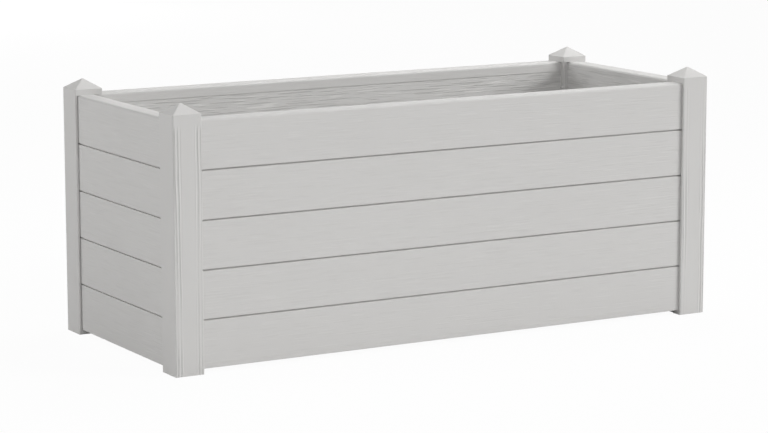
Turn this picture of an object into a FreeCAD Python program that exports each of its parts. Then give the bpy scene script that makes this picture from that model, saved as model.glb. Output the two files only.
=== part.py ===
import FreeCAD
import Part
import Sketcher

import math
import os
from types import SimpleNamespace

# A long planter box of slatted boards between four corner posts, with a watering
# system inside: a reservoir tray, a perforated soil platform on it, wick baskets,
# a fill tube with a hinged cap and a float gauge. Millimetres, +Z up, front at -Y,
# origin on the floor under the middle of the box.

# Counts
BOARD_ROWS = 5
SLATS = 5
BASKETS = 4
BASKET_SLOTS = 8
DRAIN_COLUMNS = 18

# Driving dimensions: name, millimetres, what it is
SIZES = (
    ("length", 1000, "outer length over the posts"),
    ("width", 416, "outer width over the posts"),
    ("post_side", 49, "side of a square corner post"),
    ("post_wall", 5, "wall round the bore of a post"),
    ("post_floor", 8, "closed bottom of a post"),
    ("post_round", 2, "rounding of a post's upright edges"),
    ("post_setback", 3.5, "how far the inner faces of a post lie back under its cap"),
    ("foot_height", 7.6, "height of the lowest board above the floor"),
    ("groove_depth", 12, "depth of the grooves that hold the board ends"),
    ("post_proud", 5, "how far a post stands out past the boards"),
    ("cap_skirt", 9.5, "upright edge of a post cap"),
    ("cap_rise", 15, "height of the cap's pyramid"),
    ("cap_tip", 3, "side of the flat tip of the pyramid"),
    ("cap_tip_round", 1, "rounding of the tip's corners"),
    ("spigot_length", 20, "length of the cap's spigot in the post"),
    ("spigot_wall", 3, "wall of the spigot"),
    ("spigot_gap", 0.2, "clearance of the spigot in the bore"),
    ("board_pitch", 77.9, "height that one board adds to a wall"),
    ("board_thick", 32, "thickness of a board"),
    ("board_skin", 4, "wall round the chambers of a board"),
    ("board_web", 4, "web between the two chambers of a board"),
    ("board_round", 1, "rounding of a board's outer edges"),
    ("board_end_gap", 0.5, "clearance of a board end from the bottom of its groove"),
    ("board_face_gap", 0.15, "clearance of a board's inner face in its groove"),
    ("board_reveal", 1, "open joint between a board's outer face and the post"),
    ("tongue_thick", 8, "thickness of the tongue on a board's upper edge"),
    ("tongue_height", 8, "height of the tongue"),
    ("tongue_inset", 12, "outer face of a board to its tongue"),
    ("tongue_gap", 0.3, "clearance round the tongue"),
    ("line_height", 2, "height of the shadow line between two boards"),
    ("line_depth", 4, "depth of the shadow line"),
    ("rim_round", 4, "outer rounding of the top board"),
    ("rim_inner_round", 4, "inner rounding of the top board"),
    ("seam_drop", 17, "top of the walls to the seam inside the long top boards"),
    ("seam_height", 1.2, "height of that seam"),
    ("seam_depth", 1.5, "depth of that seam"),
    ("screw_radius", 2, "shank radius of the screws"),
    ("screw_head_radius", 4, "head radius of the screws"),
    ("screw_head_height", 2.6, "head height of the screws"),
    ("screw_bite", 10, "how far a screw goes into a board"),
    ("screw_gap", 0.1, "clearance round a screw"),
    ("screw_low", 18, "height of the screw at the first end of a board"),
    ("screw_high", 32, "height of the screw at the second end of a board"),
    ("rail_thick", 20, "thickness of a floor rail"),
    ("rail_height", 24, "height of a floor rail"),
    ("rail_lift", 2.5, "lower edge of the boards to the rail"),
    ("rail_end_gap", 3, "clearance of a rail from the posts"),
    ("notch_depth", 6, "depth of the rail's notches for the slats"),
    ("notch_gap", 0.2, "clearance of a slat in its notch"),
    ("slat_width", 60, "width of a floor slat"),
    ("slat_thick", 14, "thickness of a floor slat"),
    ("slat_inset", 103, "end wall to the middle of the last slat"),
    ("slat_end_gap", 1, "clearance of a slat from the walls"),
    ("tray_gap", 3, "clearance of the tray from the walls"),
    ("tray_corner", 60, "outer corner radius of the tray"),
    ("tray_height", 100, "height of the tray"),
    ("tray_wall", 3, "wall of the tray"),
    ("tray_floor", 3, "floor of the tray"),
    ("plate_thick", 4, "thickness of the soil platform"),
    ("batten_gap", 0.5, "clearance of the platform's battens in the tray"),
    ("batten_thick", 6, "thickness of those battens"),
    ("batten_depth", 15, "depth of those battens"),
    ("drain_radius", 3, "radius of a drain hole"),
    ("drain_inset", 123, "end wall to the last drain holes"),
    ("drain_near", 100, "inner row of drain holes from the middle"),
    ("drain_far", 140, "outer row of drain holes from the middle"),
    ("basket_inset", 163, "end wall to the middle of the last wick basket"),
    ("basket_top_radius", 55, "outer radius of a basket under its flange"),
    ("basket_low_radius", 42, "outer radius of a basket at its bottom"),
    ("basket_wall", 2.5, "wall of a basket"),
    ("basket_flange", 6, "width of a basket's flange"),
    ("basket_gap", 0.4, "clearance of a basket in the platform"),
    ("basket_lift", 0.5, "basket's bottom to the tray's floor"),
    ("slot_width", 6, "width of a basket's slots"),
    ("slot_foot", 15, "bottom of a basket to its slots"),
    ("slot_height", 50, "height of a basket's slots"),
    ("pipe_inset_x", 66, "end wall to the fill and gauge tubes"),
    ("pipe_inset_y", 46, "front wall to the fill and gauge tubes"),
    ("rim_drop", 31.5, "top of the walls to the top of the tubes"),
    ("fill_radius", 25, "outer radius of the fill tube"),
    ("fill_wall", 3, "wall of the fill tube"),
    ("fill_gap", 0.2, "clearance round the fill tube"),
    ("fill_flange", 7, "width of the fill tube's flange"),
    ("collar_wall", 3.8, "wall of the fill tube's collar"),
    ("collar_height", 18, "height of the collar"),
    ("collar_lip", 4, "lip of the collar over the tube's end"),
    ("lid_thick", 4, "thickness of the fill cap"),
    ("lid_round", 1.5, "rounding of the fill cap's edge"),
    ("plug_gap", 0.6, "clearance of the fill cap's plug in the tube"),
    ("plug_wall", 3, "wall of the plug"),
    ("plug_depth", 6, "depth of the plug"),
    ("tab_reach", 7, "how far the fill cap's tab sticks out"),
    ("tab_width", 16, "width of that tab"),
    ("hinge_reach", 5, "edge of the fill cap to its hinge"),
    ("hinge_rise", 3, "underside of the fill cap to its hinge"),
    ("hinge_arm", 14, "width of the fill cap's hinge arm"),
    ("knuckle_radius", 3.3, "radius of the hinge knuckle"),
    ("ear_thick", 5, "thickness of a hinge ear"),
    ("ear_gap", 0.3, "clearance between the arm and an ear"),
    ("ear_margin", 3.5, "material of an ear round the hinge"),
    ("ear_setback", 1, "edge of the fill cap to the ears"),
    ("ear_depth", 9, "how far an ear reaches down the collar"),
    ("hinge_pin_radius", 1.5, "radius of the hinge pin"),
    ("hinge_pin_gap", 0.05, "running clearance of the hinge pin"),
    ("gauge_radius", 16, "outer radius of the gauge tube"),
    ("gauge_wall", 2.5, "wall of the gauge tube"),
    ("gauge_gap", 0.3, "clearance round the gauge tube"),
    ("gauge_lift", 0.5, "gauge tube's end to the tray's floor"),
    ("gauge_foot", 3, "thickness of the ring that the float rests on"),
    ("gauge_inlet_radius", 6, "radius of the water inlet in that ring"),
    ("gauge_flange", 8, "width of the gauge tube's flange"),
    ("flange_thick", 3, "thickness of the baskets' and tubes' flanges"),
    ("guide_thick", 6, "thickness of the gauge cap"),
    ("guide_skirt", 14, "skirt of the gauge cap down the tube"),
    ("guide_wall", 2.5, "wall of that skirt"),
    ("float_radius", 12, "radius of the float"),
    ("float_height", 30, "height of the float"),
    ("float_round", 3, "rounding of the float's edges"),
    ("stem_radius", 2.5, "radius of the gauge stem"),
    ("stem_gap", 0.5, "clearance of the stem in the gauge cap"),
    ("stem_seat", 20, "depth of the stem's seat in the float"),
    ("seat_gap", 0.1, "clearance of the stem in its seats"),
    ("tip_radius", 6, "radius of the gauge tip"),
    ("tip_height", 8, "height of the gauge tip"),
    ("tip_round", 2.5, "rounding of the gauge tip"),
    ("tip_seat", 4, "depth of the stem's seat in the tip"),
    ("tip_lift", 0.5, "gauge tip to the gauge cap when the tray is empty"),
    ("overflow_inset_x", 193, "end wall to the overflow pipe"),
    ("overflow_inset_y", 51, "back wall to the overflow pipe"),
    ("overflow_radius", 10, "outer radius of the overflow pipe"),
    ("overflow_wall", 2, "wall of the overflow pipe"),
    ("overflow_level", 75, "water level at which the reservoir overflows"),
    ("overflow_gap", 0.3, "clearance of the pipe in the tray, gasket and nut"),
    ("overflow_flange", 6, "width of the overflow pipe's flange"),
    ("overflow_tail", 10, "overflow pipe below the tray"),
    ("gasket_thick", 2, "thickness of the gasket"),
    ("nut_flats", 30, "nut across its flats"),
    ("nut_height", 7, "height of the nut"),
    ("overcut", 1, "how far a cutting tool starts outside the stock"),
)

doc = FreeCAD.newDocument("planter_box")
sheet = doc.addObject("Spreadsheet::Sheet", "Sizes")
for row, (alias, number, note) in enumerate(SIZES, start=1):
    sheet.set("A%d" % row, alias)
    sheet.set("B%d" % row, str(number))
    sheet.set("C%d" % row, note)
    sheet.setAlias("B%d" % row, alias)
doc.recompute()


class Size:
    """A length with the formula that ties it to the sheet."""

    def __init__(self, formula, value):
        self.formula = formula
        self.value = value

    def __add__(self, other):
        other = size(other)
        return Size("(%s + %s)" % (self.formula, other.formula), self.value + other.value)

    def __sub__(self, other):
        other = size(other)
        return Size("(%s - %s)" % (self.formula, other.formula), self.value - other.value)

    def __mul__(self, factor):
        return Size("(%s * (%s))" % (self.formula, factor), self.value * factor)

    def __truediv__(self, divisor):
        return Size("(%s / (%s))" % (self.formula, divisor), self.value / divisor)

    def __neg__(self):
        return self * -1

    __radd__ = __add__
    __rmul__ = __mul__


def size(amount):
    """A plain number as a length, so that it can join a formula."""
    if isinstance(amount, Size):
        return amount
    return Size(str(amount), float(amount))


s = SimpleNamespace(**{alias: Size("Sizes." + alias, float(sheet.get(alias))) for alias, _, _ in SIZES})

# Places that several pieces share
wall_top = s.foot_height + s.board_pitch * BOARD_ROWS
wall_inset = s.post_proud + s.board_thick
cavity_x = s.length / 2 - wall_inset
cavity_y = s.width / 2 - wall_inset
groove_near = s.post_proud - s.board_reveal
groove_far = wall_inset + s.board_face_gap
groove_bottom = s.post_side - s.groove_depth
post_inside = s.post_side - s.post_setback
screw_inset = (groove_far + post_inside) / 2
slat_pitch = (cavity_x - s.slat_inset) * 2 / (SLATS - 1)
basket_pitch = (cavity_x - s.basket_inset) * 2 / (BASKETS - 1)
drain_end = cavity_x - s.drain_inset
overflow_x = cavity_x - s.overflow_inset_x
overflow_y = cavity_y - s.overflow_inset_y
bore_far = groove_bottom - s.post_wall
rail_bottom = s.foot_height + s.rail_lift
slat_bottom = rail_bottom + s.rail_height - s.notch_depth
tray_bottom = slat_bottom + s.slat_thick
water_floor = tray_bottom + s.tray_floor
tray_x = cavity_x - s.tray_gap
tray_y = cavity_y - s.tray_gap
plate_bottom = tray_bottom + s.tray_height
plate_top = plate_bottom + s.plate_thick
pipe_x = cavity_x - s.pipe_inset_x
pipe_y = -cavity_y + s.pipe_inset_y
pipe_top = wall_top - s.rim_drop
fill_bore = s.fill_radius - s.fill_wall
collar_radius = s.fill_radius + s.fill_gap + s.collar_wall
collar_top = pipe_top + s.collar_lip
hinge_x = collar_radius + s.hinge_reach
ear_outside = s.hinge_arm / 2 + s.ear_gap + s.ear_thick
float_bottom = water_floor + s.gauge_lift + s.gauge_foot
stem_bottom = float_bottom + s.float_height - s.stem_seat
tip_bottom = pipe_top + s.guide_thick + s.tip_lift
stem_top = tip_bottom + s.tip_seat

# Axis that a plane's normal runs along, and which way
NORMAL_SIGN = {"XY_Plane": 1, "XZ_Plane": -1, "YZ_Plane": 1}

pieces = []


def keep(piece, x=0, y=0, z=0, turn=0):
    """Set a finished piece in its place, turned about the upright axis, and list it."""
    upright = FreeCAD.Rotation(FreeCAD.Vector(0, 0, 1), turn)
    piece.Placement = FreeCAD.Placement(FreeCAD.Vector(), upright)
    tie_place(piece, x, y, z)
    pieces.append(piece)


def tie_place(piece, x, y, z):
    for axis, where in zip("xyz", (x, y, z)):
        piece.setExpression("Placement.Base." + axis, size(where).formula)


def new_body(label):
    body = doc.addObject("PartDesign::Body", label)
    body.Label = label
    return body


def new_sketch(body, role, level=0):
    """A sketch on one of the body's own planes, moved along the axis to a level."""
    plane = next(item for item in body.Origin.OriginFeatures if item.Role == role)
    sketch = body.newObject("Sketcher::SketchObject", "Sketch")
    sketch.AttachmentSupport = (plane, [""])
    sketch.MapMode = "FlatFace"
    lift = size(level) * NORMAL_SIGN[role]
    sketch.setExpression("AttachmentOffset.Base.z", lift.formula)
    return sketch


def fix(sketch, kind, geometry, point, amount):
    """Tie one coordinate of a point to the sheet."""
    number = sketch.addConstraint(Sketcher.Constraint(kind, -1, 1, geometry, point, amount.value))
    sketch.setExpression("Constraints[%d]" % number, amount.formula)


def fix_point(sketch, geometry, point, place):
    fix(sketch, "DistanceX", geometry, point, place[0])
    fix(sketch, "DistanceY", geometry, point, place[1])


def fix_radius(sketch, geometry, radius):
    number = sketch.addConstraint(Sketcher.Constraint("Radius", geometry, radius.value))
    sketch.setExpression("Constraints[%d]" % number, radius.formula)


def join(sketch, first, first_point, second, second_point):
    sketch.addConstraint(Sketcher.Constraint("Coincident", first, first_point, second, second_point))


def vector(place):
    return FreeCAD.Vector(place[0].value, place[1].value, 0)


def step_towards(start, end):
    """Direction of an edge as -1, 0 or 1 along each axis."""
    run = [end[axis].value - start[axis].value for axis in (0, 1)]
    return [(amount > 0) - (amount < 0) for amount in run]


def draw_outline(sketch, corners):
    """A closed outline through (x, y) corners, or (x, y, radius) for a rounded one.

    The edges beside a rounded corner run along the axes.
    """
    points = [tuple(size(amount) for amount in corner) for corner in corners]
    count = len(points)
    before = []
    after = []
    for index, point in enumerate(points):
        arriving = step_towards(points[index - 1], point)
        leaving = step_towards(point, points[(index + 1) % count])
        radius = point[2] if len(point) > 2 else size(0)
        before.append([point[axis] - radius * arriving[axis] for axis in (0, 1)])
        after.append([point[axis] + radius * leaving[axis] for axis in (0, 1)])
    first = sketch.GeometryCount
    for index in range(count):
        edge = Part.LineSegment(vector(after[index]), vector(before[(index + 1) % count]))
        sketch.addGeometry(edge, False)
        fix_point(sketch, first + index, 1, after[index])
    for index, point in enumerate(points):
        edge = first + index
        edge_before = first + (index - 1) % count
        if len(point) == 2:
            join(sketch, edge_before, 2, edge, 1)
            continue
        fix_point(sketch, edge_before, 2, before[index])
        draw_corner(sketch, before[index], point, after[index], edge_before, edge)


def draw_corner(sketch, start, corner, end, edge_before, edge):
    """The quarter circle that rounds a corner between two edges."""
    centre = vector(start) + vector(end) - vector(corner)
    arriving = vector(corner) - vector(start)
    leaving = vector(end) - vector(corner)
    turns_left = arriving.cross(leaving).z > 0
    first, last = (start, end) if turns_left else (end, start)
    angles = [math.atan2(*reversed((vector(place) - centre)[:2])) for place in (first, last)]
    if angles[1] < angles[0]:
        angles[1] += 2 * math.pi
    circle = Part.Circle(centre, FreeCAD.Vector(0, 0, 1), corner[2].value)
    arc = sketch.addGeometry(Part.ArcOfCircle(circle, *angles), False)
    join(sketch, edge_before, 2, arc, 1 if turns_left else 2)
    join(sketch, edge, 1, arc, 2 if turns_left else 1)
    fix_radius(sketch, arc, corner[2])


def box_corners(x_low, x_high, y_low, y_high, *radius):
    corners = ((x_low, y_low), (x_high, y_low), (x_high, y_high), (x_low, y_high))
    return [(*corner, *radius) for corner in corners]


def draw_circle(sketch, x, y, radius):
    place = (size(x), size(y))
    circle = Part.Circle(vector(place), FreeCAD.Vector(0, 0, 1), radius.value)
    number = sketch.addGeometry(circle, False)
    fix_point(sketch, number, 3, place)
    fix_radius(sketch, number, radius)


def pad(body, sketch, length, backwards=False):
    feature = body.newObject("PartDesign::Pad", "Pad")
    feature.Profile = sketch
    feature.setExpression("Length", size(length).formula)
    feature.Reversed = backwards


def pocket(body, sketch, depth, backwards=False):
    """Cut against the sketch's normal, or along it where backwards."""
    feature = body.newObject("PartDesign::Pocket", "Pocket")
    feature.Profile = sketch
    feature.setExpression("Length", size(depth).formula)
    feature.Reversed = backwards
    return feature


def turned(body, corners):
    """Turn a half section, drawn as (radius, height), about the upright axis."""
    sketch = new_sketch(body, "XZ_Plane")
    draw_outline(sketch, corners)
    feature = body.newObject("PartDesign::Revolution", "Revolution")
    feature.Profile = sketch
    feature.ReferenceAxis = (sketch, ["V_Axis"])
    feature.Angle = 360


def make_post(label):
    """A hollow post with two stopped grooves and a set back inner corner; its outer corner is the origin."""
    body = new_body(label)
    stock = new_sketch(body, "XY_Plane")
    groove_middle = (groove_near + groove_far) / 2
    draw_outline(stock, [
        (0, 0, s.post_round),
        (s.post_side, 0, s.post_round),
        (s.post_side, groove_middle),
        (post_inside, groove_middle),
        (post_inside, post_inside, s.post_round),
        (groove_middle, post_inside),
        (groove_middle, s.post_side),
        (0, s.post_side, s.post_round),
    ])
    pad(body, stock, wall_top)
    groove_mouth = s.post_side + s.overcut
    grooves = new_sketch(body, "XY_Plane", wall_top)
    draw_outline(grooves, box_corners(groove_bottom, groove_mouth, groove_near, groove_far))
    draw_outline(grooves, box_corners(groove_near, groove_far, groove_bottom, groove_mouth))
    pocket(body, grooves, wall_top - s.foot_height)
    bore = new_sketch(body, "XY_Plane", wall_top)
    draw_outline(bore, box_corners(s.post_wall, bore_far, s.post_wall, bore_far, s.post_round))
    pocket(body, bore, wall_top - s.post_floor)
    lip = post_inside - groove_far
    first_holes = new_sketch(body, "XZ_Plane", post_inside)
    second_holes = new_sketch(body, "YZ_Plane", post_inside)
    for board in range(BOARD_ROWS):
        board_bottom = s.foot_height + s.board_pitch * board
        hole = s.screw_radius + s.screw_gap
        draw_circle(first_holes, screw_inset, board_bottom + s.screw_low, hole)
        draw_circle(second_holes, screw_inset, board_bottom + s.screw_high, hole)
    pocket(body, first_holes, lip, backwards=True)
    pocket(body, second_holes, lip)
    return body


def make_cap(label):
    """A pyramid cap whose spigot plugs the post's bore; its outer corner is at the origin."""
    body = new_body(label)
    skirt = new_sketch(body, "XY_Plane")
    draw_outline(skirt, box_corners(0, s.post_side, 0, s.post_side, s.post_round))
    pad(body, skirt, s.cap_skirt)
    eaves = new_sketch(body, "XY_Plane", s.cap_skirt)
    draw_outline(eaves, box_corners(0, s.post_side, 0, s.post_side, s.post_round))
    tip_near = (s.post_side - s.cap_tip) / 2
    tip_far = (s.post_side + s.cap_tip) / 2
    tip = new_sketch(body, "XY_Plane", s.cap_skirt + s.cap_rise)
    draw_outline(tip, box_corners(tip_near, tip_far, tip_near, tip_far, s.cap_tip_round))
    pyramid = body.newObject("PartDesign::AdditiveLoft", "Pyramid")
    pyramid.Profile = eaves
    pyramid.Sections = [tip]
    pyramid.Ruled = True
    near = s.post_wall + s.spigot_gap
    far = bore_far - s.spigot_gap
    spigot = new_sketch(body, "XY_Plane")
    draw_outline(spigot, box_corners(near, far, near, far, s.post_round))
    pad(body, spigot, s.spigot_length, backwards=True)
    core = new_sketch(body, "XY_Plane", -s.spigot_length)
    inner_near = near + s.spigot_wall
    inner_far = far - s.spigot_wall
    draw_outline(core, box_corners(inner_near, inner_far, inner_near, inner_far))
    pocket(body, core, s.spigot_length + s.cap_skirt, backwards=True)
    return body


def draw_board(sketch, is_top, has_seam):
    """Section of a board: outer face at 0, inner face at its thickness."""
    tongue_far = s.tongue_inset + s.tongue_thick
    groove_top = s.tongue_height + s.tongue_gap
    slot_near = s.tongue_inset - s.tongue_gap
    slot_far = tongue_far + s.tongue_gap
    lower = [
        (0, 0, s.board_round),
        (slot_near, 0),
        (slot_near, groove_top),
        (slot_far, groove_top),
        (slot_far, 0),
        (s.board_thick, 0),
    ]
    seam_inside = s.board_thick - s.seam_depth
    seam_top = s.board_pitch - s.seam_drop
    seam_bottom = seam_top - s.seam_height
    seam = [
        (s.board_thick, seam_bottom),
        (seam_inside, seam_bottom),
        (seam_inside, seam_top),
        (s.board_thick, seam_top),
    ]
    if is_top:
        upper = [
            (s.board_thick, s.board_pitch, s.rim_inner_round),
            (0, s.board_pitch, s.rim_round),
        ]
    else:
        tongue_top = s.board_pitch + s.tongue_height
        line_bottom = s.board_pitch - s.line_height
        upper = [
            (s.board_thick, s.board_pitch),
            (tongue_far, s.board_pitch),
            (tongue_far, tongue_top),
            (s.tongue_inset, tongue_top),
            (s.tongue_inset, s.board_pitch),
            (s.line_depth, s.board_pitch),
            (s.line_depth, line_bottom),
            (0, line_bottom, s.board_round),
        ]
    draw_outline(sketch, lower + (seam if has_seam else []) + upper)
    chamber_low = groove_top + s.board_skin
    chamber_high = s.board_pitch - s.board_skin - (s.rim_round if is_top else s.line_height)
    chamber_far = s.board_thick - s.board_skin
    middle = (chamber_low + chamber_high) / 2
    half_web = s.board_web / 2
    draw_outline(sketch, box_corners(s.board_skin, chamber_far, chamber_low, middle - half_web))
    draw_outline(sketch, box_corners(s.board_skin, chamber_far, middle + half_web, chamber_high))


def make_board(label, length, is_top, has_seam, rail_holes):
    """A hollow board along X from the origin, with screw holes in its inner skin."""
    body = new_body(label)
    section = new_sketch(body, "YZ_Plane")
    draw_board(section, is_top, has_seam)
    pad(body, section, length)
    hole = s.screw_radius + s.screw_gap
    hole_inset = screw_inset - groove_bottom - s.board_end_gap
    holes = new_sketch(body, "XZ_Plane", s.board_thick)
    draw_circle(holes, hole_inset, s.screw_low, hole)
    draw_circle(holes, length - hole_inset, s.screw_high, hole)
    for offset in rail_holes:
        draw_circle(holes, length / 2 + offset, s.rail_lift + s.rail_height / 2, hole)
    pocket(body, holes, s.screw_bite + s.screw_gap, backwards=True)
    return body


def rail_screw_offsets():
    """Rail screws sit midway between neighbouring slats."""
    return [slat_pitch * (index - (SLATS - 2) / 2) for index in range(SLATS - 1)]


def slat_offsets():
    return [slat_pitch * (index - (SLATS - 1) / 2) for index in range(SLATS)]


def make_rail(label, length):
    """A floor rail along X, with its back on the wall at the origin and notches for the slats."""
    body = new_body(label)
    section = new_sketch(body, "YZ_Plane", length / -2)
    draw_outline(section, box_corners(0, s.rail_thick, 0, s.rail_height))
    pad(body, section, length)
    notches = new_sketch(body, "XZ_Plane")
    half_notch = s.slat_width / 2 + s.notch_gap
    notch_bottom = s.rail_height - s.notch_depth
    for offset in slat_offsets():
        x_low = offset - half_notch
        x_high = offset + half_notch
        draw_outline(notches, box_corners(x_low, x_high, notch_bottom, s.rail_height + s.overcut))
    pocket(body, notches, s.rail_thick)
    holes = new_sketch(body, "XZ_Plane")
    for offset in rail_screw_offsets():
        draw_circle(holes, offset, s.rail_height / 2, s.screw_radius + s.screw_gap)
    pocket(body, holes, s.rail_thick)
    return body


def make_slat(label):
    slat = doc.addObject("Part::Box", label)
    slat.Label = label
    slat.setExpression("Length", s.slat_width.formula)
    slat.setExpression("Width", ((cavity_y - s.slat_end_gap) * 2).formula)
    slat.setExpression("Height", s.slat_thick.formula)
    return slat


def screw_shape(grip):
    """A pan-head screw along Z: its head sits on the plane of the origin, its shank points down."""
    head = s.screw_head_radius.value
    top = s.screw_head_height.value
    shank = s.screw_radius.value
    reach = grip.value + s.screw_bite.value
    point = shank
    section = (
        (0, 0, -reach),
        (shank, 0, point - reach),
        (shank, 0, 0),
        (head, 0, 0),
        (head, 0, top / 2),
        (head / 2, 0, top),
        (0, 0, top),
        (0, 0, -reach),
    )
    face = Part.Face(Part.makePolygon([FreeCAD.Vector(*corner) for corner in section]))
    return face.revolve(FreeCAD.Vector(), FreeCAD.Vector(0, 0, 1), 360)


def screw_group(label, screw, seats):
    """Copies of one screw, each with its head at a seat and pointing against the outward way."""
    copies = []
    for seat, outward in seats:
        turn = FreeCAD.Rotation(FreeCAD.Vector(0, 0, 1), outward)
        copy = screw.copy()
        copy.Placement = FreeCAD.Placement(seat, turn)
        copies.append(copy)
    group = doc.addObject("Part::Feature", label)
    group.Label = label
    group.Shape = Part.makeCompound(copies)
    group.Placement = FreeCAD.Placement()
    pieces.append(group)


def corner_screw_seats():
    """Two screws for each board row in each post, on the inner faces of its lips."""
    seats = []
    for index, (x, y) in enumerate(POST_CORNERS):
        corner = FreeCAD.Vector(x.value, y.value, 0)
        turn = FreeCAD.Rotation(FreeCAD.Vector(0, 0, 1), 90 * index)
        for board in range(BOARD_ROWS):
            bottom = (s.foot_height + s.board_pitch * board).value
            face = post_inside.value
            inset = screw_inset.value
            low = FreeCAD.Vector(inset, face, bottom + s.screw_low.value)
            high = FreeCAD.Vector(face, inset, bottom + s.screw_high.value)
            seats.append((corner + turn.multVec(low), turn.multVec(FreeCAD.Vector(0, 1, 0))))
            seats.append((corner + turn.multVec(high), turn.multVec(FreeCAD.Vector(1, 0, 0))))
    return seats


def rail_screw_seats():
    seats = []
    height = (rail_bottom + s.rail_height / 2).value
    face = (cavity_y - s.rail_thick).value
    for offset in rail_screw_offsets():
        for side in (-1, 1):
            seat = FreeCAD.Vector(offset.value, side * face, height)
            seats.append((seat, FreeCAD.Vector(0, -side, 0)))
    return seats


def make_tray():
    """An open tub for the water, with a hole for the overflow pipe."""
    body = new_body("reservoir_tray")
    stock = new_sketch(body, "XY_Plane")
    draw_outline(stock, box_corners(-tray_x, tray_x, -tray_y, tray_y, s.tray_corner))
    pad(body, stock, s.tray_height)
    inside_x = tray_x - s.tray_wall
    inside_y = tray_y - s.tray_wall
    inside = new_sketch(body, "XY_Plane", s.tray_height)
    inner_corner = s.tray_corner - s.tray_wall
    draw_outline(inside, box_corners(-inside_x, inside_x, -inside_y, inside_y, inner_corner))
    pocket(body, inside, s.tray_height - s.tray_floor)
    drain = new_sketch(body, "XY_Plane", s.tray_floor)
    draw_circle(drain, overflow_x, overflow_y, s.overflow_radius + s.overflow_gap)
    pocket(body, drain, s.tray_floor)
    return body


def basket_offsets():
    return [basket_pitch * (index - (BASKETS - 1) / 2) for index in range(BASKETS)]


def make_platform():
    """The plate that carries the soil on the tray's rim, with holes for the baskets, tubes and drainage."""
    body = new_body("soil_platform")
    plate = new_sketch(body, "XY_Plane")
    draw_outline(plate, box_corners(-tray_x, tray_x, -tray_y, tray_y, s.tray_corner))
    pad(body, plate, s.plate_thick)
    holes = new_sketch(body, "XY_Plane", s.plate_thick)
    for offset in basket_offsets():
        draw_circle(holes, offset, 0, s.basket_top_radius + s.basket_gap)
    draw_circle(holes, -pipe_x, pipe_y, s.fill_radius + s.fill_gap)
    draw_circle(holes, pipe_x, pipe_y, s.gauge_radius + s.gauge_gap)
    pocket(body, holes, s.plate_thick)
    column = new_sketch(body, "XY_Plane", s.plate_thick)
    for y in (s.drain_near, s.drain_far):
        for side in (-1, 1):
            draw_circle(column, -drain_end, y * side, s.drain_radius)
    drains = pocket(body, column, s.plate_thick)
    pattern = body.newObject("PartDesign::LinearPattern", "DrainPattern")
    pattern.Originals = [drains]
    pattern.Direction = (column, ["H_Axis"])
    pattern.setExpression("Length", (drain_end * 2).formula)
    pattern.Occurrences = DRAIN_COLUMNS
    body.Tip = pattern
    return body


def make_batten(label, length):
    """A bar under a long edge of the platform, which keeps the platform inside the tray's rim."""
    batten = doc.addObject("Part::Box", label)
    batten.Label = label
    batten.setExpression("Length", length.formula)
    batten.setExpression("Width", s.batten_thick.formula)
    batten.setExpression("Height", s.batten_depth.formula)
    return batten


def make_basket(label):
    """A slotted, tapered cup that hangs by its flange; the flange's underside is at the origin."""
    body = new_body(label)
    bottom = water_floor + s.basket_lift - plate_top
    flange_radius = s.basket_top_radius + s.basket_flange
    turned(body, [
        (0, bottom),
        (s.basket_low_radius, bottom),
        (s.basket_top_radius, 0),
        (flange_radius, 0),
        (flange_radius, s.flange_thick),
        (s.basket_top_radius - s.basket_wall, s.flange_thick),
        (s.basket_low_radius - s.basket_wall, bottom + s.basket_wall),
        (0, bottom + s.basket_wall),
    ])
    slot = new_sketch(body, "XZ_Plane")
    half_slot = s.slot_width / 2
    slot_low = bottom + s.slot_foot
    draw_outline(slot, box_corners(-half_slot, half_slot, slot_low, slot_low + s.slot_height))
    cut = pocket(body, slot, flange_radius, backwards=True)
    pattern = body.newObject("PartDesign::PolarPattern", "SlotPattern")
    pattern.Originals = [cut]
    pattern.Axis = (slot, ["V_Axis"])
    pattern.Angle = 360
    pattern.Occurrences = BASKET_SLOTS
    body.Tip = pattern
    return body


def make_fill_tube():
    """A tube with a flange that stands on the platform; the flange's underside is at the origin."""
    body = new_body("fill_tube")
    flange_radius = s.fill_radius + s.fill_flange
    top = pipe_top - plate_top
    turned(body, [
        (fill_bore, -s.plate_thick),
        (s.fill_radius, -s.plate_thick),
        (s.fill_radius, 0),
        (flange_radius, 0),
        (flange_radius, s.flange_thick),
        (s.fill_radius, s.flange_thick),
        (s.fill_radius, top),
        (fill_bore, top),
    ])
    return body


def make_fill_collar():
    """A ring on the end of the fill tube with two hinge ears; its top is at the origin's height."""
    body = new_body("fill_collar")
    socket_bore = s.fill_radius + s.fill_gap
    turned(body, [
        (fill_bore, -s.collar_lip),
        (socket_bore, -s.collar_lip),
        (socket_bore, -s.collar_height),
        (collar_radius, -s.collar_height),
        (collar_radius, 0),
        (fill_bore, 0),
    ])
    ear_end = hinge_x + s.ear_margin
    ear_start = collar_radius + s.ear_setback
    ear_root = collar_radius - s.collar_wall / 2
    ear_top = s.hinge_rise + s.ear_margin
    ear_inside = s.hinge_arm / 2 + s.ear_gap
    for level in (ear_outside, -ear_inside):
        ear = new_sketch(body, "XZ_Plane", level)
        draw_outline(ear, [
            (ear_root, -s.ear_depth),
            (ear_end, s.hinge_rise - s.ear_margin),
            (ear_end, ear_top),
            (ear_start, ear_top),
            (ear_start, -s.ear_gap),
            (ear_root, -s.ear_gap),
        ])
        pad(body, ear, s.ear_thick)
    hole = new_sketch(body, "XZ_Plane", ear_outside)
    draw_circle(hole, hinge_x, s.hinge_rise, s.hinge_pin_radius + s.hinge_pin_gap)
    pocket(body, hole, ear_outside * 2, backwards=True)
    return body


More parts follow.
